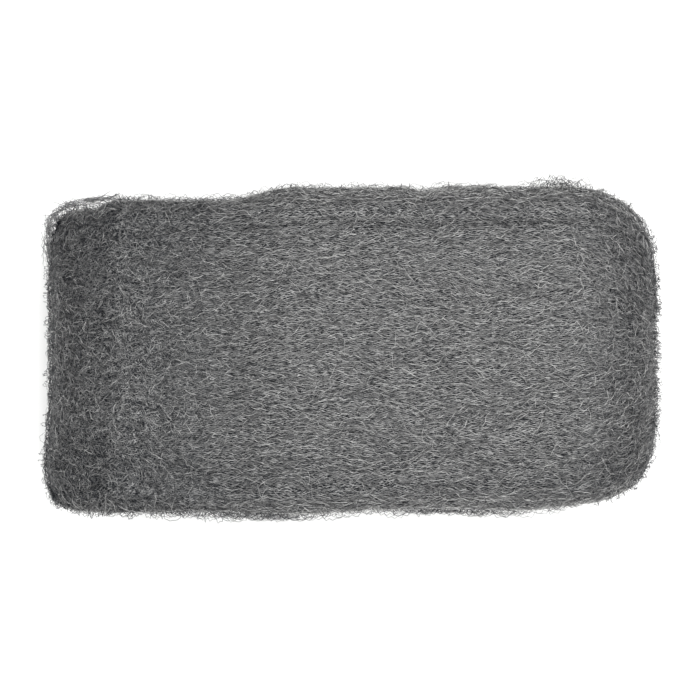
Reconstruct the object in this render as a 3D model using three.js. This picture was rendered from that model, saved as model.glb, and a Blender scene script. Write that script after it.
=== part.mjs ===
// A bundle of household steel wool, in millimetres, +Z up, lying on its flat underside at z = 0.
//
// One ribbon of wool is wound flat into a pad. The turns bend round at the left (-X) and right (+X)
// folds, and their edges show as ridges on the two long sides, front (-Y) and back (+Y). The
// ribbon's free tail thins out over the top towards the left, so the left fold is a layer lower.
//
// The skin is a grid. A ring runs once round the winding as it is seen along Y: from the left fold
// over the top to the right fold, and back along the underside. The rings follow each other along
// Y, from the middle of the front side, over the face, to the middle of the back side.
import * as THREE from "three";

// Overall size
const LENGTH = 200;
const WIDTH = 107;
const HEIGHT = 44;

// Winding: the layers from the skin to the middle, the dents between them, and the last gap
const LAYERS = 4;
const LAYER_DENT = 2.4;
const CORE_HALF_GAP = 0.7;

// Tail: soft steps down to the left, each with a shallow crease at its head
const TAIL_STEPS = [
  { x: -26, drop: 1.3 },
  { x: -50, drop: 1.6 },
  { x: -70, drop: 2.0 },
];
const TAIL_STEP_LENGTH = 14;
const CREASE_DEPTH = 0.5;
const CREASE_WIDTH = 3;

// Outline from above. Each corner is a quarter of an ellipse: length runs along X and depth along Y
const BACK_LEFT_CORNER = { length: 12, depth: 9 };
const FRONT_LEFT_CORNER = { length: 20, depth: 6 };
const BACK_RIGHT_CORNER = { length: 31, depth: 26 };
const FRONT_RIGHT_CORNER = { length: 31, depth: 19 };

// The stretches of X where a long edge falls in
const BACK_FALLS = [
  { depth: 3.8, from: -18, to: -42 },
  { depth: 3, from: -76, to: -84 },
];
const FRONT_FALLS = [
  { depth: 1.2, from: -22, to: 10 },
  { depth: 2, from: 50, to: 80 },
];

// Section across the face, in shares of the half width: flat face, dent, then a rounded shoulder
const FACE_SHARE = 0.8;
const DENT_SHARE = 0.83;
const SHOULDER_SHARE = 0.86;
const FACE_CROWN = 0.5;
const DENT_INSET = 0.3;
const DENT_DEPTH = 1.3;
const SHOULDER_INSET = 0.8;

// Grid
const FOLD_STEPS = 7;
const FLAT_STEPS = 24;
const FACE_STEPS = 12;
const SHOULDER_STEPS = 4;
const STEPS_PER_LAYER = 4;

const STEEL_GREY = 0x6f7072;

// Worked out from the above
const END_X = LENGTH / 2;
const FOLD_RADIUS = HEIGHT / 2;
const FOLD_CENTRE = END_X - FOLD_RADIUS;
const LAYER = FOLD_RADIUS / LAYERS;
const HALF_RING = 2 * FOLD_STEPS + FLAT_STEPS;
const RING = 2 * HALF_RING;

/** 0 before from, 1 after to, and smooth between, in either direction. */
function ramp(value, from, to) {
  return THREE.MathUtils.smoothstep((value - from) / (to - from), 0, 1);
}

/** How far a ring step has come from the left fold's end, over the top or back underneath. */
function stepsAlong(step) {
  return step > HALF_RING ? RING - step : step;
}

/** 0 at the end of a fold, and 1 where the face lies flat. */
function flatness(step) {
  const along = stepsAlong(step);
  return Math.min(along / FOLD_STEPS, (HALF_RING - along) / FOLD_STEPS, 1);
}

/** The place of one ring step on a winding whose skin is inset, as [x, z]. */
function windingPoint(step, inset) {
  const along = stepsAlong(step);
  const radius = FOLD_RADIUS - inset;
  const leftTurn = Math.min(along, FOLD_STEPS) / FOLD_STEPS;
  const rightTurn = Math.max(along - FOLD_STEPS - FLAT_STEPS, 0) / FOLD_STEPS;
  const flat = THREE.MathUtils.clamp((along - FOLD_STEPS) / FLAT_STEPS, 0, 1);
  const angle = (Math.PI / 2) * (2 - leftTurn - rightTurn);
  const x = FOLD_CENTRE * (2 * flat - 1) + radius * Math.cos(angle);
  const rise = radius * Math.sin(angle);
  return [x, FOLD_RADIUS + (step > HALF_RING ? -rise : rise)];
}

/** How much lower the top is at x because the tail has thinned out. */
function tailDrop(x) {
  let drop = 0;
  for (const step of TAIL_STEPS) {
    drop += step.drop * ramp(x, step.x, step.x - TAIL_STEP_LENGTH);
    drop += CREASE_DEPTH * Math.exp(-(((x - step.x) / CREASE_WIDTH) ** 2));
  }
  return drop;
}

/** The corner of the outline that x and side lie towards. */
function cornerAt(x, side) {
  if (x < 0) {
    return side > 0 ? BACK_LEFT_CORNER : FRONT_LEFT_CORNER;
  }
  return side > 0 ? BACK_RIGHT_CORNER : FRONT_RIGHT_CORNER;
}

/** How far the long edge on one side lies from the centre line at x. */
function edgeDistance(x, side) {
  const { length, depth } = cornerAt(x, side);
  const into = THREE.MathUtils.clamp((Math.abs(x) - END_X) / length + 1, 0, 1);
  let distance = WIDTH / 2 - depth * (1 - Math.sqrt(1 - into ** 2));
  for (const fall of side > 0 ? BACK_FALLS : FRONT_FALLS) {
    distance -= fall.depth * ramp(x, fall.from, fall.to);
  }
  return distance;
}

/** The dent between layers on a long side, which winds inwards by one layer in each turn. */
function layerDent(step, inset) {
  const phase = inset / LAYER - step / RING;
  return LAYER_DENT * Math.cos(Math.PI * phase) ** 2;
}

/**
 * The rings from the centre line to one long side. Each has its share of the half width, its inset,
 * how much of the dent along the face's edge it takes, and how much of the dents between layers.
 */
function ringsToOneSide() {
  const rings = [];
  for (let i = 0; i <= FACE_STEPS / 2; i += 1) {
    rings.push({ share: (2 * FACE_SHARE * i) / FACE_STEPS, inset: 0, dented: 0, sideways: 0 });
  }
  rings.push({ share: DENT_SHARE, inset: DENT_INSET, dented: 1, sideways: 0 });
  for (let i = 0; i <= SHOULDER_STEPS; i += 1) {
    const angle = (Math.PI / 2) * (i / SHOULDER_STEPS);
    rings.push({
      share: SHOULDER_SHARE + (1 - SHOULDER_SHARE) * Math.sin(angle),
      inset: SHOULDER_INSET + (LAYER - SHOULDER_INSET) * (1 - Math.cos(angle)),
      dented: 0,
      sideways: i / SHOULDER_STEPS,
    });
  }
  const sideDepth = FOLD_RADIUS - CORE_HALF_GAP - LAYER;
  const sideSteps = Math.round((sideDepth * STEPS_PER_LAYER) / LAYER);
  for (let i = 1; i <= sideSteps; i += 1) {
    const inset = LAYER + (sideDepth * i) / sideSteps;
    rings.push({ share: 1, inset, dented: 0, sideways: 1 });
  }
  return rings;
}

/** One point of the skin, as [x, y, z]. */
function skinPoint(step, ring, side) {
  const inset = ring.inset + ring.dented * DENT_DEPTH * flatness(step);
  const [windingX, windingZ] = windingPoint(step, inset);
  const crown = FACE_CROWN * (ring.share / FACE_SHARE) ** 2;
  const z = windingZ * (1 - (tailDrop(windingX) + crown) / HEIGHT);
  const edge = edgeDistance(windingX, side) * ring.share;
  const y = side * (edge - ring.sideways * layerDent(step, inset));
  return [windingX, y, z];
}

/** The whole skin as one closed geometry. */
function bundleGeometry() {
  const toSide = ringsToOneSide();
  const front = toSide.slice(1).reverse().map((ring) => ({ ring, side: -1 }));
  const back = toSide.map((ring) => ({ ring, side: 1 }));
  const rings = [...front, ...back];
  const positions = rings.flatMap(({ ring, side }) =>
    Array.from({ length: RING }, (_, step) => skinPoint(step, ring, side)).flat(),
  );
  const vertex = (row, step) => row * RING + (step % RING);
  const faces = [];
  for (let row = 0; row + 1 < rings.length; row += 1) {
    for (let step = 0; step < RING; step += 1) {
      const near = [vertex(row, step), vertex(row, step + 1)];
      const far = [vertex(row + 1, step), vertex(row + 1, step + 1)];
      faces.push(near[0], near[1], far[0], near[1], far[1], far[0]);
    }
  }
  // Each long side closes across the middle of the winding, from the upper half to the lower.
  const last = rings.length - 1;
  for (let step = 0; step < HALF_RING; step += 1) {
    const upper = [step, step + 1];
    const lower = [(RING - step) % RING, RING - step - 1];
    if (step > 0) {
      faces.push(vertex(0, upper[1]), vertex(0, upper[0]), vertex(0, lower[0]));
      faces.push(vertex(last, upper[0]), vertex(last, upper[1]), vertex(last, lower[0]));
    }
    if (step < HALF_RING - 1) {
      faces.push(vertex(0, lower[1]), vertex(0, upper[1]), vertex(0, lower[0]));
      faces.push(vertex(last, upper[1]), vertex(last, lower[1]), vertex(last, lower[0]));
    }
  }
  const geometry = new THREE.BufferGeometry();
  geometry.setAttribute("position", new THREE.Float32BufferAttribute(positions, 3));
  geometry.setIndex(faces);
  geometry.computeVertexNormals();
  return geometry;
}

const steelWool = new THREE.MeshStandardMaterial({
  color: STEEL_GREY,
  roughness: 0.55,
  metalness: 0.8,
});

const bundle = new THREE.Mesh(bundleGeometry(), steelWool);
bundle.name = "steel_wool_bundle";

const part = new THREE.Group();
part.add(bundle);

export default part;
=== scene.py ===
import math
from typing import NamedTuple

import bpy
import numpy as np
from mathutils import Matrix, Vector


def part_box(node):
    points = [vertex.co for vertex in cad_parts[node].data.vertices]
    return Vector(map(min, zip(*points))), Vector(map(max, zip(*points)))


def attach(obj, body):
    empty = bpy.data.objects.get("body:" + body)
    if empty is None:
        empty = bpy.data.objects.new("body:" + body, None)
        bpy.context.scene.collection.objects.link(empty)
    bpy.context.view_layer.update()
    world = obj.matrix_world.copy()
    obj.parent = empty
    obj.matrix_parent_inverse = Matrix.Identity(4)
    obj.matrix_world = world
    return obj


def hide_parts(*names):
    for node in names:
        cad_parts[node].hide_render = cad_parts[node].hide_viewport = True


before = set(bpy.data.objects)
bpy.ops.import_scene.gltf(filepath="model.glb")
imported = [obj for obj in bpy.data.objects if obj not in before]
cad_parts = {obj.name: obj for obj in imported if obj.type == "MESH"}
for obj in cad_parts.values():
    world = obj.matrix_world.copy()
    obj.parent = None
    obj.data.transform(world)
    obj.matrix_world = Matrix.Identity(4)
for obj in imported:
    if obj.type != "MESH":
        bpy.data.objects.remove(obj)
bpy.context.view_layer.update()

bl_info = {
    "name": "Steel wool bundle",
    "version": (1, 0, 0),
    "blender": (4, 5, 0),
    "location": "3D View > Sidebar > Steel wool",
    "description": "A flat-wound bundle of household steel wool, fibre by fibre, on a studio floor",
    "category": "Object",
}

# ---------------------------------------------------------------- sizes, in metres
# One ribbon of wool is wound flat. Two lengths give a place on its skin. "around" runs along the
# fibres: from the end of the left fold over the top to the right fold, and back underneath.
# "across" runs over the ribbon's width, from the middle of the front side to that of the back side.

MM = 0.001
NODE = "steel_wool_bundle"
LOW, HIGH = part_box(NODE)
LENGTH, WIDTH, HEIGHT = HIGH - LOW
HALF_LENGTH = LENGTH / 2
HALF_WIDTH = WIDTH / 2

# Winding: layers from the skin to the middle, and the dents between them on the long sides
LAYERS = 4
LAYER_DENT = 1.9 * MM
CORE_HALF_GAP = 0.7 * MM
FOLD_RADIUS = HEIGHT / 2
FOLD_CENTRE = HALF_LENGTH - FOLD_RADIUS
LAYER = FOLD_RADIUS / LAYERS
QUARTER_FOLD = FOLD_RADIUS * math.pi / 2
FLAT_RUN = 2 * FOLD_CENTRE
HALF_RUN = FLAT_RUN + 2 * QUARTER_FOLD
FULL_RUN = 2 * HALF_RUN

# Section across: a flat face, a rounded shoulder with a dent at its foot, then the long side
FACE_SHARE = 0.8
FACE_REACH = FACE_SHARE * HALF_WIDTH
FACE_CROWN = 0.5 * MM
SHOULDER_RUN = 12.5 * MM
FRONT_DENT_REACH = 44.4 * MM
BACK_DENT_REACH = 41.0 * MM
DENT_DEPTH = 0.8 * MM
DENT_WIDTH = 1.5 * MM
SIDE_REACH = FACE_REACH + SHOULDER_RUN
SIDE_DEPTH = FOLD_RADIUS - LAYER - CORE_HALF_GAP
END_REACH = SIDE_REACH + SIDE_DEPTH

# Tail: the top steps down to the left, with a shallow crease at the head of each step
TAIL_STEPS = ((-26 * MM, 1.3 * MM), (-50 * MM, 1.6 * MM), (-70 * MM, 2.0 * MM))
TAIL_STEP_RUN = 14 * MM
CREASE_DEPTH = 0.4 * MM
CREASE_WIDTH = 2 * MM

# Outline from above. Each corner is a quarter of an ellipse: (length along X, length along Y)
BACK_LEFT_CORNER = (12 * MM, 9 * MM)
FRONT_LEFT_CORNER = (20 * MM, 6 * MM)
BACK_RIGHT_CORNER = (31 * MM, 26 * MM)
FRONT_RIGHT_CORNER = (31 * MM, 19 * MM)

# How far the left end flares out towards the front
LEFT_FLARE = 1.6 * MM

# The stretches where a long edge falls in, or comes out again: (depth, from x, to x)
BACK_FALLS = (
    (3.8 * MM, -18 * MM, -42 * MM),
    (3.0 * MM, -76 * MM, -84 * MM),
    (1.4 * MM, 31 * MM, 24 * MM),
    (-1.4 * MM, 22 * MM, 15 * MM),
)
FRONT_FALLS = ((1.2 * MM, -22 * MM, 10 * MM), (2.0 * MM, 50 * MM, 80 * MM))

# The matted body lies this deep below the skin, and the strands fill the rest. Its relief is in
# layers of (depth, cell along the fibres, cell across them)
MAT_DEPTH = 1.7 * MM
RELIEF = (
    (0.40 * MM, 34 * MM, 13 * MM),
    (0.18 * MM, 14 * MM, 3.0 * MM),
    (0.25 * MM, 6 * MM, 1.5 * MM),
)
FLOOR_GAP = 0.15 * MM

# Light lost at the folds: (share, where it starts, where it is full), from the end of the fold
LEFT_SHADES = ((0.24, 105 * MM, 28 * MM), (0.24, 16 * MM, 4 * MM))
RIGHT_SHADES = ((0.11, 45 * MM, 20 * MM), (0.04, 20 * MM, 10 * MM))

# Light lost in the creases at the heads of the tail's steps
CREASE_SHADE = 0.13
CREASE_SHADE_WIDTH = 0.8 * MM

# Light lost in the dents along the face's edges, which fade out over this stretch near the folds
FRONT_DENT_SHADE = 0.10
BACK_DENT_SHADE = 0.13
DENT_SHADE_WIDTH = 1.2 * MM
DENT_FADE = (30 * MM, 56 * MM)

# Light lost towards the face's edges, over this band across
FACE_EDGE_SHADE = 0.08
FACE_EDGE_BAND = (26 * MM, 41 * MM)

# Painted light on the wool from the shoulders down, most of all at the edges, fading by this share
# over a band down the long sides. At the ends of the folds it turns to painted shade, over this
# stretch
SHOULDER_PAINTED_LIGHT = 0.44
SHOULDER_LIGHT_BAND = (46.5 * MM, 52 * MM)
SHOULDER_LIGHT_FADE = 0.7
SHOULDER_LIGHT_FADE_BAND = (SIDE_REACH, 62 * MM)
FOLD_END_SHADE = 0.10
FOLD_END_FADE = (2 * MM, 22 * MM)

# Light lost in the slot where the two halves of the winding meet, and how much that varies
CORE_SHADE = 0.75
CORE_SHADE_CHANGE = 0.15
CORE_BAND = (END_REACH - 0.8 * MM, END_REACH - 0.2 * MM)

# Light lost in the pits between locks: in combed wool, and how much more in tangled wool
PIT_SHADE = 0.06
TANGLED_PIT_SHADE = 0.20


# ---------------------------------------------------------------- the wound skin

def ramp(value, start, end):
    """0 before start, 1 after end, and smooth between, in either direction."""
    share = np.clip((value - start) / (end - start), 0, 1)
    return share * share * (3 - 2 * share)


def from_folds(around):
    """How far along the skin a place lies from the end of the left fold, and of the right one."""
    along = np.minimum(around % FULL_RUN, FULL_RUN - around % FULL_RUN)
    return along, HALF_RUN - along


def flatness(around):
    """0 at the end of a fold, and 1 where the face lies flat."""
    return np.clip(np.minimum(*from_folds(around)) / QUARTER_FOLD, 0, 1)


def tangle(around):
    """0 where the strands lie along the ribbon, and 1 where they lie every way, near the folds.
    The loose tail tangles them further from the left fold than from the right one."""
    left, right = from_folds(around)
    return np.maximum(ramp(left, 84 * MM, 28 * MM), 0.75 * ramp(right, 50 * MM, 20 * MM))


def winding_place(around, inset):
    """x and z on the winding, inset below its skin."""
    around = around % FULL_RUN
    under = around > HALF_RUN
    along = np.where(under, FULL_RUN - around, around)
    radius = FOLD_RADIUS - inset
    left = np.clip(along / QUARTER_FOLD, 0, 1)
    flat = np.clip((along - QUARTER_FOLD) / FLAT_RUN, 0, 1)
    right = np.clip((along - QUARTER_FOLD - FLAT_RUN) / QUARTER_FOLD, 0, 1)
    angle = math.pi / 2 * (2 - left - right)
    x = FOLD_CENTRE * (2 * flat - 1) + radius * np.cos(angle)
    rise = radius * np.sin(angle)
    return x, FOLD_RADIUS + np.where(under, -rise, rise)


def tail_drop(x):
    """How much lower the top is at x because the tail has thinned out."""
    drop = np.zeros_like(x)
    for head, depth in TAIL_STEPS:
        drop += depth * ramp(x, head, head - TAIL_STEP_RUN)
        drop += CREASE_DEPTH * np.exp(-(((x - head) / CREASE_WIDTH) ** 2))
    return drop


def smooth_noise(around, across, cell_around, cell_across, seed):
    """Smooth noise from -1 to 1 with cells of this size, which closes up round the winding."""
    columns = max(round(FULL_RUN / cell_around), 2)
    rows = int(2 * END_REACH / cell_across) + 4
    table = np.random.default_rng(seed).uniform(-1, 1, (columns, rows))
    u = around / FULL_RUN * columns
    v = np.clip(across / cell_across + rows / 2, 0, rows - 2)
    column, row = np.floor(u).astype(int), np.floor(v).astype(int)
    s, t = ramp(u - column, 0, 1), ramp(v - row, 0, 1)
    here, after = column % columns, (column + 1) % columns
    low = table[here, row] * (1 - s) + table[after, row] * s
    high = table[here, row + 1] * (1 - s) + table[after, row + 1] * s
    return low * (1 - t) + high * t


def edge_distance(x, side):
    """How far the long edge on one side lies from the centre line at x."""
    distance = HALF_WIDTH - np.zeros_like(x)
    for here, falls in ((side > 0, BACK_FALLS), (side <= 0, FRONT_FALLS)):
        for depth, start, end in falls:
            distance = distance - here * depth * ramp(x, start, end)
    corners = (
        ((x < 0) & (side > 0), BACK_LEFT_CORNER),
        ((x < 0) & (side <= 0), FRONT_LEFT_CORNER),
        ((x >= 0) & (side > 0), BACK_RIGHT_CORNER),
        ((x >= 0) & (side <= 0), FRONT_RIGHT_CORNER),
    )
    for here, (length, depth) in corners:
        into = np.clip((np.abs(x) - HALF_LENGTH + length) / length, 0, 1)
        distance = distance - here * depth * (1 - np.sqrt(1 - into**2))
    return distance


def layer_dent(around, inset):
    """The dent between layers on a long side, which winds inwards by one layer in each turn. It
    wanders and is now deep, now shallow, as soft layers are."""
    wander = smooth_noise(around, inset, 34 * MM, 6 * MM, 41)
    depth = 0.75 + 0.45 * smooth_noise(around, inset, 22 * MM, 5 * MM, 42)
    phase = inset / LAYER - (around % FULL_RUN) / FULL_RUN + 0.16 * wander
    return LAYER_DENT * depth * np.cos(math.pi * phase) ** 2


def off_dent(across, width):
    """How far a place lies from the dent along its edge of the face, in widths."""
    dent = np.where(across < 0, FRONT_DENT_REACH, BACK_DENT_REACH)
    return (np.abs(across) - dent) / width


def skin(around, across, dented=True):
    """The place of a point of the smooth skin, as an array of x, y, z."""
    side = np.where(across < 0, -1.0, 1.0)
    reach = np.abs(across)
    turn = np.clip((reach - FACE_REACH) / SHOULDER_RUN, 0, 1) * math.pi / 2
    on_face = np.clip(reach / FACE_REACH, 0, 1) * FACE_SHARE
    share = on_face + (1 - FACE_SHARE) * np.sin(turn)
    inset = LAYER * (1 - np.cos(turn)) + np.clip(reach - SIDE_REACH, 0, SIDE_DEPTH)
    if dented:
        inset += DENT_DEPTH * flatness(around) * np.exp(-(off_dent(across, DENT_WIDTH) ** 2))
    x, z = winding_place(around, inset)
    crown = FACE_CROWN * (share / FACE_SHARE) ** 2
    z = z * (1 - (tail_drop(x) + crown) / HEIGHT)
    y = edge_distance(x, side) * share
    if dented:
        y -= ramp(reach, FACE_REACH, SIDE_REACH) * layer_dent(around, inset)
    x = x - LEFT_FLARE * ramp(x, -60 * MM, -HALF_LENGTH) * ramp(side * y, -15 * MM, -42 * MM)
    return np.stack([x, side * y, z], axis=-1)


def unit(vectors):
    """The vectors, each made one long."""
    return vectors / np.maximum(np.linalg.norm(vectors, axis=-1, keepdims=True), 1e-12)


def outward(around, across):
    """The direction out of the skin, had it no dents."""
    reach = np.clip(across, -END_REACH + MM, END_REACH - MM)
    step = 0.6 * MM
    along = skin(around + step, reach, False) - skin(around - step, reach, False)
    sideways = skin(around, reach + step, False) - skin(around, reach - step, False)
    return unit(np.cross(along, sideways))


def relief(around, across):
    """How far the matted wool stands out of the smooth skin."""
    height = np.zeros(np.broadcast(around, across).shape)
    for seed, (depth, cell_around, cell_across) in enumerate(RELIEF):
        height += depth * smooth_noise(around, across, cell_around, cell_across, seed)
    return height


def line_shade(around, across, patches):
    """How much light is lost on the top in the creases at the heads of the tail's steps and in the
    dents along the face's long edges. Both come and go with the patches."""
    x, z = winding_place(around, 0)
    lost = np.zeros_like(patches)
    for head, _ in TAIL_STEPS:
        crease = np.exp(-(((x - head) / CREASE_SHADE_WIDTH) ** 2))
        lost += CREASE_SHADE * crease * ramp(patches, -0.5, 0.4)
    dent = np.where(across < 0, FRONT_DENT_SHADE, BACK_DENT_SHADE)
    dent = dent * np.exp(-(off_dent(across, DENT_SHADE_WIDTH) ** 2))
    dent *= ramp(np.minimum(*from_folds(around)), *DENT_FADE)
    lost += dent * ramp(patches, -0.2, 0.5)
    return lost * (z > FOLD_RADIUS)


def shade(around, across):
    """How much light is lost at a place, as painted shade: up to 1, and below 0 where painted light
    makes the wool along the edges lighter than the rest."""
    left, right = from_folds(around)
    reach = np.abs(across)
    patches = smooth_noise(around, across, 15 * MM, 6 * MM, 31)
    lost = line_shade(around, across, patches) + FACE_EDGE_SHADE * ramp(reach, *FACE_EDGE_BAND)
    for distance, shades in ((left, LEFT_SHADES), (right, RIGHT_SHADES)):
        for share, start, end in shades:
            lost += share * ramp(distance, start, end)
    # Painted light on the wool along the edges, which turns to painted shade at the ends of the
    # folds
    shoulder_light = ramp(reach, *SHOULDER_LIGHT_BAND) * (1 - SHOULDER_LIGHT_FADE * ramp(reach, *SHOULDER_LIGHT_FADE_BAND))
    off_end = ramp(np.minimum(left, right), *FOLD_END_FADE)
    lost -= shoulder_light * (SHOULDER_PAINTED_LIGHT * off_end - FOLD_END_SHADE)
    lost += (CORE_SHADE + CORE_SHADE_CHANGE * patches) * ramp(reach, *CORE_BAND)
    pits = smooth_noise(around, across, 2.5 * MM, 1.4 * MM, 32)
    lost += (PIT_SHADE + TANGLED_PIT_SHADE * tangle(around)) * ramp(pits, 0.3, 0.8)
    return np.clip(lost, -0.3, 1)


def wool_place(around, across, lift):
    """A place at some lift off the matted wool, never through the floor."""
    place = skin(around, across)
    height = relief(around, across) - MAT_DEPTH + lift
    place = place + outward(around, across) * height[..., None]
    place[..., 2] = np.maximum(place[..., 2], FLOOR_GAP)
    return place


# ---------------------------------------------------------------- meshes

def new_object(name, vertices, quads, triangles, uv_of_corner, **values):
    """A mesh object from arrays of places and faces, with its bake map and values by vertex."""
    mesh = bpy.data.meshes.new(name)
    corners = np.concatenate([quads.ravel(), triangles.ravel()]).astype(np.int32)
    sizes = np.concatenate([np.full(len(quads), 4), np.full(len(triangles), 3)])
    starts = np.concatenate([[0], np.cumsum(sizes)[:-1]]).astype(np.int32)
    mesh.vertices.add(len(vertices))
    mesh.vertices.foreach_set("co", vertices.astype(np.float32).ravel())
    mesh.loops.add(len(corners))
    mesh.loops.foreach_set("vertex_index", corners)
    mesh.polygons.add(len(sizes))
    mesh.polygons.foreach_set("loop_start", starts)
    layer = mesh.uv_layers.new(name="OFBake")
    layer.uv.foreach_set("vector", uv_of_corner(corners).astype(np.float32).ravel())
    for key, value in values.items():
        attribute = mesh.attributes.new(key, "FLOAT", "POINT")
        attribute.data.foreach_set("value", value.astype(np.float32).ravel())
    mesh.update(calc_edges=True)
    mesh.validate()
    made = bpy.data.objects.new(name, mesh)
    bpy.context.scene.collection.objects.link(made)
    return made


def hand_over(piece, material):
    """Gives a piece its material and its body."""
    piece.data.materials.append(material)
    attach(piece, "root")


SIDES = 3  # of a strand
TWIST = 0.35  # spread of a strand's turn about itself in a step, in radians

# Where the strands lie on their bake map: its corner, its size, and the nudge between corners
MAP_START = (0.01, 0.02)
MAP_RUN = (0.97, 0.96)
MAP_NUDGE = 0.004


def build_fibres(name, places, up, width, tone, rng):
    """Closed three-sided strands along rows of places, pointed at both ends, with a tone at each
    place. Like real shaved wool they twist, so that each side catches the light in turn."""
    count, steps = places.shape[:2]
    along = unit(np.gradient(places, axis=1))
    sideways = unit(np.cross(up, along))
    across = np.cross(along, sideways)
    twist = rng.uniform(0, 2 * math.pi, (count, 1)) + np.cumsum(
        rng.normal(0, TWIST, (count, steps)), axis=1
    )
    angle = (twist[..., None] + np.arange(SIDES) * 2 * math.pi / SIDES)[:, 1:-1, :, None]
    ring = np.cos(angle) * sideways[:, 1:-1, None] + np.sin(angle) * across[:, 1:-1, None]
    rings = places[:, 1:-1, None] + width[:, None, None, None] / math.sqrt(3) * ring
    tips = places[:, [0, -1]]
    vertices = np.concatenate([tips, rings.reshape(count, -1, 3)], axis=1)
    vertices[..., 2] = np.maximum(vertices[..., 2], 0)
    size = vertices.shape[1]
    index = np.arange(count * size).reshape(count, size)
    rows = index[:, 2:].reshape(count, steps - 2, SIDES)
    here, after = rows[:, :-1], rows[:, 1:]
    quads = np.stack([here, np.roll(here, -1, 2), np.roll(after, -1, 2), after], axis=-1)
    first, last = rows[:, 0], rows[:, -1]
    root = np.broadcast_to(index[:, :1], first.shape)
    tip = np.broadcast_to(index[:, 1:2], last.shape)
    points = np.concatenate(
        [
            np.stack([np.roll(first, -1, 1), first, root], -1),
            np.stack([last, np.roll(last, -1, 1), tip], -1),
        ]
    )
    # The map has the tone along it, so that strands may share a place on it, and each corner
    # a little further on, so that every face has some width there.
    tone = np.clip(tone, 0, 1)
    spread = np.repeat(tone[:, 1:-1], SIDES, axis=1)
    tones = np.concatenate([tone[:, [0, -1]], spread], axis=1).ravel()
    nudge = np.concatenate([[1, 1], np.tile(np.arange(SIDES), steps - 2)]) * MAP_NUDGE
    lane = np.concatenate([[0, steps - 1], np.repeat(np.arange(1, steps - 1), SIDES)])
    map_u = MAP_START[0] + MAP_RUN[0] * tones + np.tile(nudge, count)
    map_v = MAP_START[1] + MAP_RUN[1] * np.tile(lane / (steps - 1), count)
    return new_object(
        name,
        vertices.reshape(-1, 3),
        quads.reshape(-1, 4),
        points.reshape(-1, 3),
        lambda corners: np.stack([map_u[corners], map_v[corners]], -1),
        tone=tones,
    )


# ---------------------------------------------------------------- materials

def linear(colour):
    """An sRGB hex colour as linear red, green and blue."""
    parts = [int(colour[i : i + 2], 16) / 255 for i in (1, 3, 5)]
    return [p / 12.92 if p <= 0.04045 else ((p + 0.055) / 1.055) ** 2.4 for p in parts]


def add_node(tree, kind, inputs=None, links=None, **settings):
    """Adds a shader node with its settings, plain input values and links from other sockets."""
    node = tree.nodes.new(kind)
    for key, value in settings.items():
        setattr(node, key, value)
    for key, value in (inputs or {}).items():
        node.inputs[key].default_value = value
    for key, socket in (links or {}).items():
        tree.links.new(socket, node.inputs[key])
    return node


def set_ramp(node, *stops):
    """Sets a colour ramp's stops, each a position and a linear colour."""
    stops_now = node.color_ramp.elements
    while len(stops_now) < len(stops):
        stops_now.new(1.0)
    for stop, (position, colour) in zip(stops_now, stops):
        stop.position = position
        stop.color = (*colour, 1)


def new_material(name):
    """A node material without nodes yet, and its tree."""
    material = bpy.data.materials.new(name)
    material.use_nodes = True
    material.node_tree.nodes.clear()
    return material, material.node_tree


def shaved_steel(settings):
    """Low-carbon steel wire shaved into wool: bare grey metal, scraped along its length, so each
    strand is dull on its torn sides and glints on its cut ones. Its tone differs by strand, and
    carries painted shade and light from where the strand lies and how deep it weaves."""
    material, tree = new_material("shaved_low_carbon_steel")
    tone = add_node(tree, "ShaderNodeAttribute", attribute_name="tone")
    colours = add_node(tree, "ShaderNodeValToRGB", links={"Fac": tone.outputs["Fac"]})
    set_ramp(
        colours,
        (0.0, settings.fibre_dark_and_shade),
        (0.5, settings.fibre_middle),
        (1.0, settings.fibre_bright_and_lit),
    )
    surface = add_node(
        tree,
        "ShaderNodeBsdfPrincipled",
        inputs={"Metallic": 1.0, "Roughness": 0.42},
        links={"Base Color": colours.outputs["Color"]},
    )
    add_node(tree, "ShaderNodeOutputMaterial", links={"Surface": surface.outputs["BSDF"]})
    return material


def strand_lines(tree, place, angle, pitch, dash, wander, seed):
    """The strands of one lay as crimped lines, from 0 between them to 1 on them. place is in
    millimetres along and across the ribbon, angle is the lay's heading, pitch the distance
    between strands, dash how long a strand shows before it dives under the others, and wander
    how far the strands stray from straight."""
    laid = add_node(
        tree,
        "ShaderNodeVectorRotate",
        inputs={"Angle": angle, "Center": (seed, seed, 0)},
        links={"Vector": place},
        rotation_type="Z_AXIS",
    )
    # A wave texture has one band in every 2 pi / 20 of its own units.
    bands = add_node(
        tree,
        "ShaderNodeTexWave",
        wave_type="BANDS",
        bands_direction="Y",
        inputs={
            "Scale": 2 * math.pi / 20 / pitch,
            "Distortion": wander,
            "Detail": 2.0,
            "Detail Scale": 1.4,
            "Detail Roughness": 0.6,
        },
        links={"Vector": laid.outputs["Vector"]},
    )
    cells = add_node(
        tree,
        "ShaderNodeMapping",
        inputs={"Scale": (1 / dash, 0.9 / pitch, 1)},
        links={"Vector": laid.outputs["Vector"]},
    )
    dashes = add_node(
        tree,
        "ShaderNodeTexNoise",
        noise_dimensions="2D",
        inputs={"Scale": 1.0, "Detail": 1.0, "Roughness": 0.55},
        links={"Vector": cells.outputs["Vector"]},
    )
    shown = add_node(
        tree,
        "ShaderNodeMapRange",
        inputs={"From Min": 0.35, "From Max": 0.6, "To Min": 0.25, "To Max": 1.0},
        links={"Value": dashes.outputs["Fac"]},
    )
    return add_node(
        tree,
        "ShaderNodeMath",
        operation="MULTIPLY",
        links={0: bands.outputs["Fac"], 1: shown.outputs["Result"]},
    ).outputs["Value"]


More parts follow.
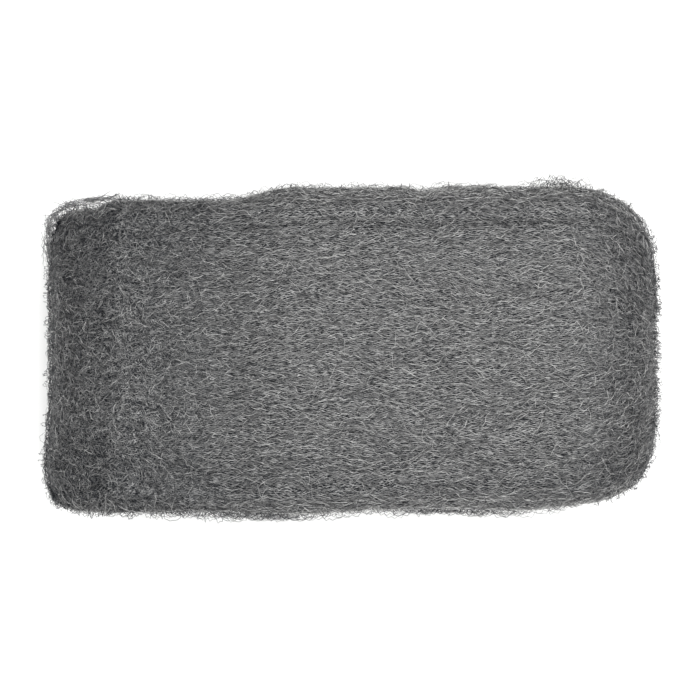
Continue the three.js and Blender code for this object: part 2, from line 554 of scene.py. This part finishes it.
# The lays of strands in the mat: (heading, pitch in mm, dash in mm, wander, seed). The real fibres
# are finer and closer than this, which still shows.
COMBED_LAYS = (
    (0.0, 0.65, 2.6, 3.5, 0.0),
    (0.3, 0.7, 2.2, 3.5, 17.0),
    (-0.35, 0.7, 2.2, 3.5, 31.0),
)
CROSSING_LAYS = (
    (1.15, 0.75, 1.6, 9.0, 47.0),
    (-0.75, 0.8, 1.8, 9.0, 59.0),
    (0.2, 0.7, 1.8, 7.0, 73.0),
)


def lines_over_lines(tree, place, lays):
    """The lines of several lays of strands, each over the others."""
    top = None
    for lay in lays:
        lines = strand_lines(tree, place, *lay)
        if top is not None:
            lines = add_node(
                tree, "ShaderNodeMath", operation="MAXIMUM", links={0: top, 1: lines}
            ).outputs["Value"]
        top = lines
    return top


def matted_steel(settings):
    """The tangle under the outer strands. Light is lost between its fibres, so its gaps are painted
    nearly black as shade, and the fine grey lines of strands cross over them, mostly along the
    ribbon and every way at the folds. Painted shade from the shade attribute darkens it towards
    the gaps' colour."""
    material, tree = new_material("matted_steel_wool")
    winding = add_node(tree, "ShaderNodeUVMap", uv_map="OFBake")
    # The map holds one run round and one run across, so this gives millimetres.
    place = add_node(
        tree,
        "ShaderNodeMapping",
        inputs={"Scale": (FULL_RUN / MM, 2 * END_REACH / MM, 1)},
        links={"Vector": winding.outputs["UV"]},
    )
    combed = lines_over_lines(tree, place.outputs["Vector"], COMBED_LAYS)
    crossing = lines_over_lines(tree, place.outputs["Vector"], CROSSING_LAYS)
    tangled = add_node(tree, "ShaderNodeAttribute", attribute_name="tangled")
    lines = add_node(
        tree,
        "ShaderNodeMix",
        data_type="FLOAT",
        links={"Factor": tangled.outputs["Fac"], "A": combed, "B": crossing},
    )
    colours = add_node(tree, "ShaderNodeValToRGB", links={"Fac": lines.outputs["Result"]})
    set_ramp(
        colours,
        (0.25, settings.gap_shade_colour),
        (0.55, settings.mat_colour),
        (1.0, settings.ridge_colour),
    )
    # Painted shade: the shade attribute mixes the colour towards the gaps' shade colour
    shaded = add_node(tree, "ShaderNodeAttribute", attribute_name="shade")
    lit = add_node(
        tree,
        "ShaderNodeMix",
        data_type="RGBA",
        links={"Factor": shaded.outputs["Fac"], "A": colours.outputs["Color"]},
    )
    lit.inputs["B"].default_value = (*settings.gap_shade_colour, 1)
    bump = add_node(
        tree,
        "ShaderNodeBump",
        inputs={"Strength": 0.8, "Distance": 0.25 * MM},
        links={"Height": lines.outputs["Result"]},
    )
    surface = add_node(
        tree,
        "ShaderNodeBsdfPrincipled",
        inputs={"Metallic": 0.8, "Roughness": 0.55},
        links={"Base Color": lit.outputs["Result"], "Normal": bump.outputs["Normal"]},
    )
    add_node(tree, "ShaderNodeOutputMaterial", links={"Surface": surface.outputs["BSDF"]})
    return material


def matt_floor(settings):
    """Smooth white laminate of a light table: matt, with a barely seen mottle."""
    material, tree = new_material("white_matt_laminate")
    place = add_node(tree, "ShaderNodeTexCoord")
    mottle = add_node(
        tree,
        "ShaderNodeTexNoise",
        inputs={"Scale": 1 / (60 * MM), "Detail": 2.0},
        links={"Vector": place.outputs["Object"]},
    )
    colours = add_node(tree, "ShaderNodeValToRGB", links={"Fac": mottle.outputs["Fac"]})
    set_ramp(colours, (0.3, linear("#F7F7F6")), (0.7, settings.floor_colour))
    surface = add_node(
        tree,
        "ShaderNodeBsdfPrincipled",
        inputs={"Roughness": 0.9, "Specular IOR Level": 0.2},
        links={"Base Color": colours.outputs["Color"]},
    )
    add_node(tree, "ShaderNodeOutputMaterial", links={"Surface": surface.outputs["BSDF"]})
    return material


def shared_material(make, settings):
    """The material that make gives, made only once."""
    key = "material_" + make.__name__
    name = bpy.context.scene.get(key)
    if name is None:
        name = make(settings).name
        bpy.context.scene[key] = name
    return bpy.data.materials[name]


# ---------------------------------------------------------------- settings

class SteelWoolSettings(bpy.types.PropertyGroup):
    """Sizes and colours of the wool."""

    strand_width: bpy.props.FloatProperty(
        name="Strand width",
        description="Width of one strand. Real ones are finer, and this one still shows",
        default=0.155 * MM,
        min=0.05 * MM,
        precision=5,
        unit="LENGTH",
    )
    strand_step: bpy.props.FloatProperty(
        name="Strand step",
        description="Length of one straight stretch of a strand",
        default=1.15 * MM,
        min=0.5 * MM,
        precision=5,
        unit="LENGTH",
    )
    body_step_around: bpy.props.FloatProperty(
        name="Body step along",
        description="Grid size of the matted body along the fibres",
        default=2.2 * MM,
        precision=5,
        unit="LENGTH",
    )
    body_step_across: bpy.props.FloatProperty(
        name="Body step across",
        description="Grid size of the matted body across the fibres",
        default=0.7 * MM,
        precision=5,
        unit="LENGTH",
    )
    # Painted shade: the colour of the shadowed gaps between the fibres, which painted shade also
    # darkens towards
    gap_shade_colour: bpy.props.FloatVectorProperty(
        name="Gaps",
        description="Dark gaps in the mat",
        subtype="COLOR",
        default=linear("#191B1F"),
    )
    mat_colour: bpy.props.FloatVectorProperty(
        name="Mat",
        description="Tangle below the strands",
        subtype="COLOR",
        default=linear("#5D5E5F"),
    )
    ridge_colour: bpy.props.FloatVectorProperty(
        name="Ridges",
        description="Strands on top of the tangle",
        subtype="COLOR",
        default=linear("#B7B7B6"),
    )
    # Painted shade: the ramp's dark end stands for dull strands and, cool and bluish, for strands
    # in painted shade
    fibre_dark_and_shade: bpy.props.FloatVectorProperty(
        name="Dark strands",
        description="Dull, torn strands",
        subtype="COLOR",
        default=linear("#22252B"),
    )
    fibre_middle: bpy.props.FloatVectorProperty(
        name="Grey strands",
        description="Most strands",
        subtype="COLOR",
        default=linear("#878787"),
    )
    # Painted light: the ramp's bright end stands for clean-cut strands and for painted light on the
    # top strands and the edges
    fibre_bright_and_lit: bpy.props.FloatVectorProperty(
        name="Bright strands",
        description="Clean-cut strands",
        subtype="COLOR",
        default=linear("#D5D5D3"),
    )


class StudioSettings(bpy.types.PropertyGroup):
    """Sizes and colours of the stage."""

    floor_colour: bpy.props.FloatVectorProperty(
        name="Floor",
        description="Colour of the floor",
        subtype="COLOR",
        default=linear("#FBFBFA"),
    )
    floor_size: bpy.props.FloatProperty(
        name="Floor size", description="Side of the floor", default=6.0, unit="LENGTH"
    )
    view_width: bpy.props.FloatProperty(
        name="View width",
        description="Width that the camera sees at the bundle's mid-height",
        default=229 * MM,
        unit="LENGTH",
    )
    camera_height: bpy.props.FloatProperty(
        name="Camera height",
        description="Distance from the camera to the bundle's mid-height",
        default=1.1,
        unit="LENGTH",
    )
    key_power: bpy.props.FloatProperty(
        name="Key light", description="Power of the soft light", default=8.6, unit="POWER"
    )
    sky_strength: bpy.props.FloatProperty(
        name="Sky", description="Strength of the even light all round", default=1.9
    )


# ---------------------------------------------------------------- operators

class STEELWOOL_OT_body(bpy.types.Operator):
    """Makes the matted body of the wound ribbon"""

    bl_idname = "steel_wool.body"
    bl_label = "Matted body"

    def execute(self, context):
        settings = context.scene.steel_wool
        columns = round(FULL_RUN / settings.body_step_around)
        rows = round(2 * END_REACH / settings.body_step_across)
        around, across = np.meshgrid(
            np.arange(columns) * FULL_RUN / columns,
            np.linspace(-END_REACH, END_REACH, rows + 1),
            indexing="ij",
        )
        places = wool_place(around, across, np.zeros_like(around))
        index = np.arange(columns * (rows + 1)).reshape(columns, rows + 1)
        after = np.roll(index, -1, axis=0)
        quads = np.stack([index[:, :-1], after[:, :-1], after[:, 1:], index[:, 1:]], -1)
        closing, caps = self.close_sides(index, columns)
        quads = np.concatenate([quads.reshape(-1, 4), closing])
        column_of, row_of = np.divmod(np.arange(index.size), rows + 1)

        def uv_of_corner(corners):
            """The bake map, with a run round the winding along it and a run across up it."""
            u = column_of[corners] / columns
            v = row_of[corners] / rows
            # The last column's faces reach the first column again, at the map's far edge.
            faces = np.concatenate([np.repeat(np.arange(len(quads)), 4), np.repeat(-1, caps.size)])
            closes = (faces < 0) | (faces >= columns * rows)
            wraps = ~closes & (faces >= (columns - 1) * rows) & (u == 0)
            # The faces that close the sides lie on a narrow strip along the map's edge.
            lower = closes & (u > 0.5)
            v = np.where(lower, np.clip(v, 0.6 / rows, 1 - 0.6 / rows), v)
            return np.stack([np.where(wraps, 1.0, np.where(lower, 1 - u, u)), v], -1)

        body = new_object(
            "wool_body",
            places.reshape(-1, 3),
            quads,
            caps,
            uv_of_corner,
            tangled=tangle(around),
            shade=shade(around, across),
        )
        body.data.polygons.foreach_set("use_smooth", np.ones(len(body.data.polygons), bool))
        hand_over(body, shared_material(matted_steel, settings))
        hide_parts(NODE)
        return {"FINISHED"}

    @staticmethod
    def close_sides(index, columns):
        """Faces that close the middle of each long side, from the upper half to the lower."""
        quads, caps = [], []
        half = columns // 2
        for row, flip in ((0, 1), (-1, -1)):
            ring = index[:, row]
            for step in range(half):
                corners = [ring[step], ring[step + 1], ring[-step - 1], ring[-step % columns]]
                corners = list(dict.fromkeys(corners))[::-flip]
                (quads if len(corners) == 4 else caps).append(corners)
        return np.array(quads), np.array(caps)


def sway(around, across):
    """How far neighbouring strands swing off the ribbon's length together, in radians."""
    wide = smooth_noise(around, across, 16 * MM, 7 * MM, 21)
    narrow = smooth_noise(around, across, 6 * MM, 2.5 * MM, 22)
    return 0.20 * wide + 0.22 * narrow


def through_core(around, across):
    """Takes places that have run past the middle of a long side on to its other half."""
    past = np.abs(across) > END_REACH
    across = np.where(past, np.sign(across) * 2 * END_REACH - across, across)
    return np.where(past, -around, around) % FULL_RUN, across


class Lay(NamedTuple):
    """How the strands of a piece lie. Angles are in radians and lengths in metres."""

    lift: tuple  # band of heights off the matted body
    tones: tuple = (0.25, 0.65)  # darkest and brightest strand
    steps: int = 5  # straight stretches
    step: float = 1.5  # of the settings' strand step
    width: tuple = (0.75, 1.25)  # of the settings' strand width
    spread: float = 0.22  # how far headings differ where the strands lie along the ribbon
    crimp: tuple = (0.15, 0.5)  # swing of the crimp
    curl: float = 0.0  # turn in a step
    arch: tuple = (0.0, 0.0)  # how far the middle stands out
    weave: float = 0.25 * MM  # how far they go over and under each other


# Steps of an even scatter in two directions: 1 / g and 1 / g**2, where g**3 = g + 1
EVEN_STEPS = (0.7548776662, 0.5698402910)

# A strand's tone loses this share of the light that its place loses. Its weave gets painted light
# at the top and painted shade at the bottom, this much, and it differs this much by chance
SHADE_ON_STRANDS = 0.7
WEAVE_PAINTED_SHADE = 0.12
TONE_CHANGE = 0.08

# Strands in tangled wool are this share shorter
TANGLED_SHORTER = 0.3

# Turn of the crimp from one step to the next, in radians, and the stray kink in each step
CRIMP_TURN = (1.4, 2.7)
KINK = 0.12


def evenly(rng, count):
    """Pairs of shares from 0 to 1 that are scattered without clumps."""
    start = rng.random(2)
    return (start[:, None] + np.array(EVEN_STEPS)[:, None] * np.arange(count)) % 1


def lay_strands(name, rng, around, across, lay):
    """Walks strands over the wool, with these places as their middles, and makes the piece."""
    settings = bpy.context.scene.steel_wool
    count = len(around)
    loose = tangle(around)
    step = lay.step * settings.strand_step * (1 - TANGLED_SHORTER * loose)
    # Most strands keep near the lay, and a few stray far from it.
    own = np.clip(rng.standard_t(3, count), -4, 4)
    crimp = rng.uniform(*lay.crimp, count)
    turn = rng.uniform(*CRIMP_TURN, count)
    phase = rng.uniform(0, 2 * math.pi, (2, count))
    curl = lay.curl * rng.normal(0, 1, count)
    free = lay.spread + (1.0 - lay.spread) * loose
    heading = own * free - curl * lay.steps / 2
    around = around - step * lay.steps / 2 * np.cos(heading)
    across = across - step * lay.steps / 2 * np.sin(heading)
    path = []
    for index in range(lay.steps + 1):
        path.append((around, across))
        kink = crimp * np.sin(phase[0] + turn * index) + rng.normal(0, KINK, count)
        heading = heading + curl
        angle = heading + sway(around, across) + kink
        around = around + step * np.cos(angle)
        across = across + step * np.sin(angle)
    around, across = through_core(*(np.stack(part, axis=1) for part in zip(*path)))
    share = np.linspace(0, 1, lay.steps + 1)[None]
    base = rng.uniform(*lay.lift, (count, 1))
    weave = np.sin(phase[1][:, None] + 1.3 * turn[:, None] * np.arange(lay.steps + 1))
    bow = rng.uniform(*lay.arch, (count, 1)) * np.sin(math.pi * share) ** 1.5
    # Only the two ends dive into the mat.
    dive = (2 * share - 1) ** 6 * base
    places = wool_place(around, across, base + lay.weave * weave + bow - dive)
    # Painted light where the strand rides over its neighbours, painted shade where it dives under
    # them, and painted shade from its place
    tone = rng.uniform(*lay.tones, (count, 1)) + WEAVE_PAINTED_SHADE * weave
    tone += TONE_CHANGE * (loose * rng.normal(0, 1, count))[:, None]
    tone += rng.normal(0, TONE_CHANGE, tone.shape) - SHADE_ON_STRANDS * shade(around, across)
    width = settings.strand_width * rng.uniform(*lay.width, count)
    piece = build_fibres(name, places, outward(around, across), width, tone, rng)
    hand_over(piece, shared_material(shaved_steel, settings))


# Distance between the rows that combed strands lie in, and how far they stray from them, in rows
ROW_PITCH = 0.65 * MM
ROW_STRAY = 0.22

# Each mat of strands: the stretch round the winding and the band across it where it lies, how many
# strands it has, and how they lie
TOP = (0.35 * QUARTER_FOLD, HALF_RUN - 0.35 * QUARTER_FOLD)
UNDER = (HALF_RUN + TOP[0], HALF_RUN + TOP[1])
LEFT_FOLD = (-QUARTER_FOLD, QUARTER_FOLD)
RIGHT_FOLD = (HALF_RUN - QUARTER_FOLD, HALF_RUN + QUARTER_FOLD)
ALL_ROUND = (0, FULL_RUN)
FACE = (-56 * MM, 56 * MM)
FRONT = (-END_REACH, -48 * MM)
BACK = (48 * MM, END_REACH)
MATS = {
    # The lower face mats have darker tones and the top one brighter: painted shade on the strands
    # that lie deeper
    "face_mat_1": (TOP, FACE, 5000, Lay((0.4 * MM, 0.9 * MM), (0.10, 0.45))),
    "face_mat_2": (TOP, FACE, 5500, Lay((0.6 * MM, 1.1 * MM), (0.25, 0.55))),
    "face_mat_3": (TOP, FACE, 5500, Lay((0.8 * MM, 1.4 * MM), (0.45, 0.90), width=(0.6, 1.0))),
    "underside_mat": (UNDER, FACE, 1500, Lay((0.4 * MM, 1.2 * MM))),
    "left_fold_mat": (LEFT_FOLD, FACE, 2600, Lay((0.4 * MM, 1.3 * MM))),
    "right_fold_mat": (RIGHT_FOLD, FACE, 2600, Lay((0.4 * MM, 1.3 * MM))),
    "front_side_mat": (ALL_ROUND, FRONT, 4200, Lay((0.1 * MM, 0.9 * MM), (0.2, 0.6))),
    "back_side_mat": (ALL_ROUND, BACK, 4200, Lay((0.1 * MM, 0.9 * MM), (0.2, 0.6))),
}

# Long, smoothly curled strands on top. The power crowds them towards the loose tail
STRAYS = 900
STRAY_CROWDING = 1.6
STRAY_LAY = Lay(
    lift=(1.2 * MM, 1.7 * MM),
    tones=(0.55, 1.0),
    steps=7,
    step=0.9,
    width=(0.5, 0.75),
    spread=0.55,
    crimp=(0.05, 0.3),
    curl=0.12,
    weave=0.15 * MM,
)

# Loose strands that stand off the wool: how many of each kind there are, and how they lie
EDGE_HAIRS = 2700
EDGE_LAY = Lay(
    lift=(0.5 * MM, 2.9 * MM),
    tones=(-0.2, 0.4),
    steps=6,
    step=0.9,
    width=(0.7, 1.0),
    spread=0.4,
    crimp=(0.15, 0.5),
    weave=0.4 * MM,
)
FRONT_HAIRS = 260
FRONT_LAY = EDGE_LAY._replace(lift=(1.6 * MM, 3.8 * MM), steps=8, spread=0.25)
TUFT_HAIRS = 46
TUFT_LAY = FRONT_LAY._replace(
    lift=(1.0 * MM, 2.6 * MM), steps=9, spread=0.7, crimp=(0.3, 0.7), arch=(0, 3.6 * MM)
)
FOLD_HAIRS = 420
FOLD_LAY = EDGE_LAY._replace(lift=(1.4 * MM, 2.8 * MM), steps=5)
FACE_HAIRS = 420
FACE_LAY = Lay(
    lift=(1.0 * MM, 1.6 * MM),
    tones=(0.3, 0.8),
    steps=7,
    step=0.9,
    width=(0.55, 0.75),
    spread=0.5,
    arch=(0.3 * MM, 1.8 * MM),
)

# Where they stand. Edge hairs cover this band across, and grow sparser down the long sides
EDGE_BAND_START = 50 * MM
EDGE_BAND_WIDTH = 18 * MM
WISP_GAP = (26 * MM, 8 * MM)  # middle and half length, from the end of the left fold
WISP_GAP_KEEPS = 0.4
TUFT_PLACE = QUARTER_FOLD + FOLD_CENTRE + 68 * MM
FRONT_STRETCHES = (80 * MM, 145 * MM)
LONG_HAIRS_START = 54 * MM
LONG_HAIRS_WIDTH = 5 * MM

# The wisp at the back left corner leaves the wool at the left end and meets it again on the back
# edge. Its curve has four control points, from above in millimetres, and it fills these heights
WISP_CURVE = ((-99.6, 32), (-98.8, 47.8), (-97.5, 47.0), (-75, 50.2))
WISP_HEIGHTS = (18 * MM, 34 * MM)

# Its strands: the shares of the curve where the first and the last start, and how much each covers
WISP_HAIRS = 260
WISP_STEPS = 7
WISP_STARTS = (-0.1, 0.87)
WISP_SHARE = 0.13


class STEELWOOL_OT_mats(bpy.types.Operator):
    """Lays the mats of strands over the face, the underside, the folds and the long sides"""

    bl_idname = "steel_wool.mats"
    bl_label = "Strand mats"

    def execute(self, context):
        for seed, (name, (stretch, band, count, lay)) in enumerate(MATS.items()):
            rng = np.random.default_rng(100 + seed)
            u, v = evenly(rng, count)
            around = stretch[0] + (stretch[1] - stretch[0]) * u
            across = band[0] + (band[1] - band[0]) * v
            # Combed strands lie side by side, and tangled ones anywhere.
            row = across / ROW_PITCH
            combed = np.round(row) + rng.normal(0, ROW_STRAY, count)
            across = ROW_PITCH * np.where(rng.random(count) < tangle(around), row, combed)
            lay_strands(name, rng, around, across, lay)
        return {"FINISHED"}


class STEELWOOL_OT_strays(bpy.types.Operator):
    """Lays long, smoothly curled strands over the mats, most of them on the loose tail"""

    bl_idname = "steel_wool.strays"
    bl_label = "Stray strands"

    def execute(self, context):
        rng = np.random.default_rng(210)
        u, v = evenly(rng, STRAYS)
        across = FACE[0] + (FACE[1] - FACE[0]) * v
        lay_strands("stray_strands", rng, HALF_RUN * u**STRAY_CROWDING, across, STRAY_LAY)
        return {"FINISHED"}


class STEELWOOL_OT_frizz(bpy.types.Operator):
    """Raises loose strands off the long edges, the corners and the folds"""

    bl_idname = "steel_wool.frizz"
    bl_label = "Edge frizz"

    def execute(self, context):
        rng = np.random.default_rng(200)
        self.edge_frizz(rng)
        self.front_frizz(rng)
        self.back_tuft(rng)
        self.fold_frizz(rng)
        self.face_frizz(rng)
        return {"FINISHED"}

    @staticmethod
    def edge_frizz(rng):
        """Hairs all round both long edges."""
        u, v = evenly(rng, EDGE_HAIRS)
        around = FULL_RUN * u
        side = np.where(v < 0.5, -1, 1)
        across = (EDGE_BAND_START + EDGE_BAND_WIDTH * ((2 * v) % 1) ** 2) * side
        # Beside the back left corner a wisp of its own stands off the edge, with a gap below it.
        middle, half = WISP_GAP
        gap = (across > 0) & (np.abs(from_folds(around)[0] - middle) < half)
        kept = ~gap | (rng.random(EDGE_HAIRS) < WISP_GAP_KEEPS)
        lay_strands("edge_frizz", rng, around[kept], across[kept], EDGE_LAY)

    @staticmethod
    def front_frizz(rng):
        """Two stretches of the front edge that are combed out further."""
        middle = np.where(rng.random(FRONT_HAIRS) < 0.5, *FRONT_STRETCHES)
        around = middle + rng.normal(0, 14 * MM, FRONT_HAIRS)
        across = -LONG_HAIRS_START - LONG_HAIRS_WIDTH * rng.random(FRONT_HAIRS)
        lay_strands("front_frizz", rng, around, across, FRONT_LAY)

    @staticmethod
    def back_tuft(rng):
        """A tuft on the back edge near the right, with bows that stand up every way."""
        around = TUFT_PLACE + rng.normal(0, 3.4 * MM, TUFT_HAIRS)
        across = LONG_HAIRS_START + LONG_HAIRS_WIDTH * rng.random(TUFT_HAIRS)
        lay_strands("back_tuft", rng, around, across, TUFT_LAY)

    @staticmethod
    def fold_frizz(rng):
        """Short hairs on the ends of the folds, most of them on the right one."""
        fold = np.where(rng.random(FOLD_HAIRS) < 0.8, HALF_RUN, 0)
        around = fold + rng.normal(0, 9 * MM, FOLD_HAIRS)
        across = rng.uniform(-50 * MM, 50 * MM, FOLD_HAIRS)
        lay_strands("fold_frizz", rng, around, across, FOLD_LAY)

    @staticmethod
    def face_frizz(rng):
        """Hairs that bow up off the face."""
        u, v = evenly(rng, FACE_HAIRS)
        around = -QUARTER_FOLD + (HALF_RUN + 2 * QUARTER_FOLD) * u
        across = FACE[0] + (FACE[1] - FACE[0]) * v
        lay_strands("face_frizz", rng, around, across, FACE_LAY)


class STEELWOOL_OT_wisp(bpy.types.Operator):
    """Bridges the back left corner with the thin wisp that has come loose from it"""

    bl_idname = "steel_wool.wisp"
    bl_label = "Corner wisp"

    def execute(self, context):
        settings = context.scene.steel_wool
        rng = np.random.default_rng(230)
        count, steps = WISP_HAIRS, WISP_STEPS
        # Each strand runs along a short share of the curve.
        share = rng.uniform(*WISP_STARTS, (count, 1)) + WISP_SHARE * np.linspace(0, 1, steps + 1)
        weights = np.stack(
            [(1 - share) ** 3, 3 * share * (1 - share) ** 2, 3 * share**2 * (1 - share), share**3],
            axis=-1,
        )
        height = rng.uniform(*WISP_HEIGHTS, (count, 1)) + np.zeros_like(share)
        places = np.concatenate([weights @ (np.array(WISP_CURVE) * MM), height[..., None]], axis=-1)
        out = unit(np.cross(np.gradient(places, axis=1), (0, 0, 1)))
        out = np.where(out[..., 1:2] < 0, -out, out)
        # It strays from the curve by its place, its slope and its crimp.
        turn = rng.uniform(0.8, 2.4, (count, 1)) * np.arange(steps + 1)
        crimp = np.sin(rng.uniform(0, 2 * math.pi, (count, 1)) + turn)
        slope = rng.normal(0, 0.9 * MM, (count, 1)) * np.linspace(-1, 1, steps + 1)
        off = rng.normal(-0.2 * MM, 0.6 * MM, (count, 1)) + slope
        off += rng.uniform(0.1 * MM, 0.45 * MM, (count, 1)) * crimp
        places = places + out * off[..., None]
        tone = rng.uniform(0.1, 0.5, (count, 1)) + rng.normal(0, 0.1, share.shape)
        width = settings.strand_width * rng.uniform(0.8, 1.1, count)
        wisp = build_fibres("corner_wisp", places, out, width, tone, rng)
        hand_over(wisp, shared_material(shaved_steel, settings))
        return {"FINISHED"}


class STEELWOOL_OT_stage(bpy.types.Operator):
    """Makes the floor, the soft light and the camera"""

    bl_idname = "steel_wool.stage"
    bl_label = "Studio stage"

    def execute(self, context):
        scene = context.scene
        studio = scene.steel_wool_studio
        half = studio.floor_size / 2
        corners = [(-half, -half, 0), (half, -half, 0), (half, half, 0), (-half, half, 0)]
        mesh = bpy.data.meshes.new("studio_floor")
        mesh.from_pydata(corners, [], [(0, 1, 2, 3)])
        floor = bpy.data.objects.new("studio_floor", mesh)
        mesh.materials.append(shared_material(matt_floor, studio))
        scene.collection.objects.link(floor)

        world = bpy.data.worlds.new("soft_box_sky")
        world.use_nodes = True
        tree = world.node_tree
        place = add_node(tree, "ShaderNodeTexCoord")
        # A wide soft box overhead, leaning to the right: brightest there, dim at the horizon.
        toward = add_node(
            tree,
            "ShaderNodeVectorMath",
            operation="DOT_PRODUCT",
            inputs={1: (0.32, 0.05, 0.95)},
            links={0: place.outputs["Generated"]},
        )
        glow = add_node(
            tree,
            "ShaderNodeMapRange",
            inputs={"From Min": -0.1, "From Max": 1.0, "To Min": 0.6, "To Max": 1.0},
            links={"Value": toward.outputs["Value"]},
        )
        strength = add_node(
            tree,
            "ShaderNodeMath",
            operation="MULTIPLY",
            inputs={1: studio.sky_strength},
            links={0: glow.outputs["Result"]},
        )
        tree.links.new(strength.outputs["Value"], tree.nodes["Background"].inputs["Strength"])
        tree.nodes["Background"].inputs["Color"].default_value = (*linear("#FFFFFF"), 1)
        scene.world = world

        lamp = bpy.data.lights.new("key_light", "AREA")
        lamp.shape = "DISK"
        lamp.size = 0.9
        lamp.energy = studio.key_power
        key = bpy.data.objects.new("key_light", lamp)
        key.location = (0.45, 0.15, 1.3)
        key.rotation_euler = (math.radians(-6), math.radians(19), 0)
        scene.collection.objects.link(key)

        lens = bpy.data.cameras.new("camera")
        lens.sensor_width = 36.0
        lens.lens = lens.sensor_width * studio.camera_height / studio.view_width
        lens.clip_end = 20.0
        camera = bpy.data.objects.new("camera", lens)
        camera.location = (-0.7 * MM, 0, FOLD_RADIUS + studio.camera_height)
        scene.collection.objects.link(camera)
        scene.camera = camera
        scene.view_settings.view_transform = "Standard"
        return {"FINISHED"}


class STEELWOOL_PT_panel(bpy.types.Panel):
    """Lists the operators, in the order in which they are run"""

    bl_idname = "STEELWOOL_PT_panel"
    bl_label = "Steel wool bundle"
    bl_space_type = "VIEW_3D"
    bl_region_type = "UI"
    bl_category = "Steel wool"

    def draw(self, context):
        for operator in OPERATORS:
            self.layout.operator(operator.bl_idname)


OPERATORS = (
    STEELWOOL_OT_stage,
    STEELWOOL_OT_body,
    STEELWOOL_OT_mats,
    STEELWOOL_OT_strays,
    STEELWOOL_OT_frizz,
    STEELWOOL_OT_wisp,
)
CLASSES = (SteelWoolSettings, StudioSettings, *OPERATORS, STEELWOOL_PT_panel)


def register():
    """Adds the settings, the operators and the panel."""
    for cls in CLASSES:
        bpy.utils.register_class(cls)
    bpy.types.Scene.steel_wool = bpy.props.PointerProperty(type=SteelWoolSettings)
    bpy.types.Scene.steel_wool_studio = bpy.props.PointerProperty(type=StudioSettings)


def unregister():
    """Takes them away again."""
    del bpy.types.Scene.steel_wool_studio
    del bpy.types.Scene.steel_wool
    for cls in reversed(CLASSES):
        bpy.utils.unregister_class(cls)


def main():
    """Makes the stage and the bundle."""
    register()
    bpy.ops.steel_wool.stage()
    bpy.ops.steel_wool.body()
    bpy.ops.steel_wool.mats()
    bpy.ops.steel_wool.strays()
    bpy.ops.steel_wool.frizz()
    bpy.ops.steel_wool.wisp()


if __name__ == "__main__":
    main()
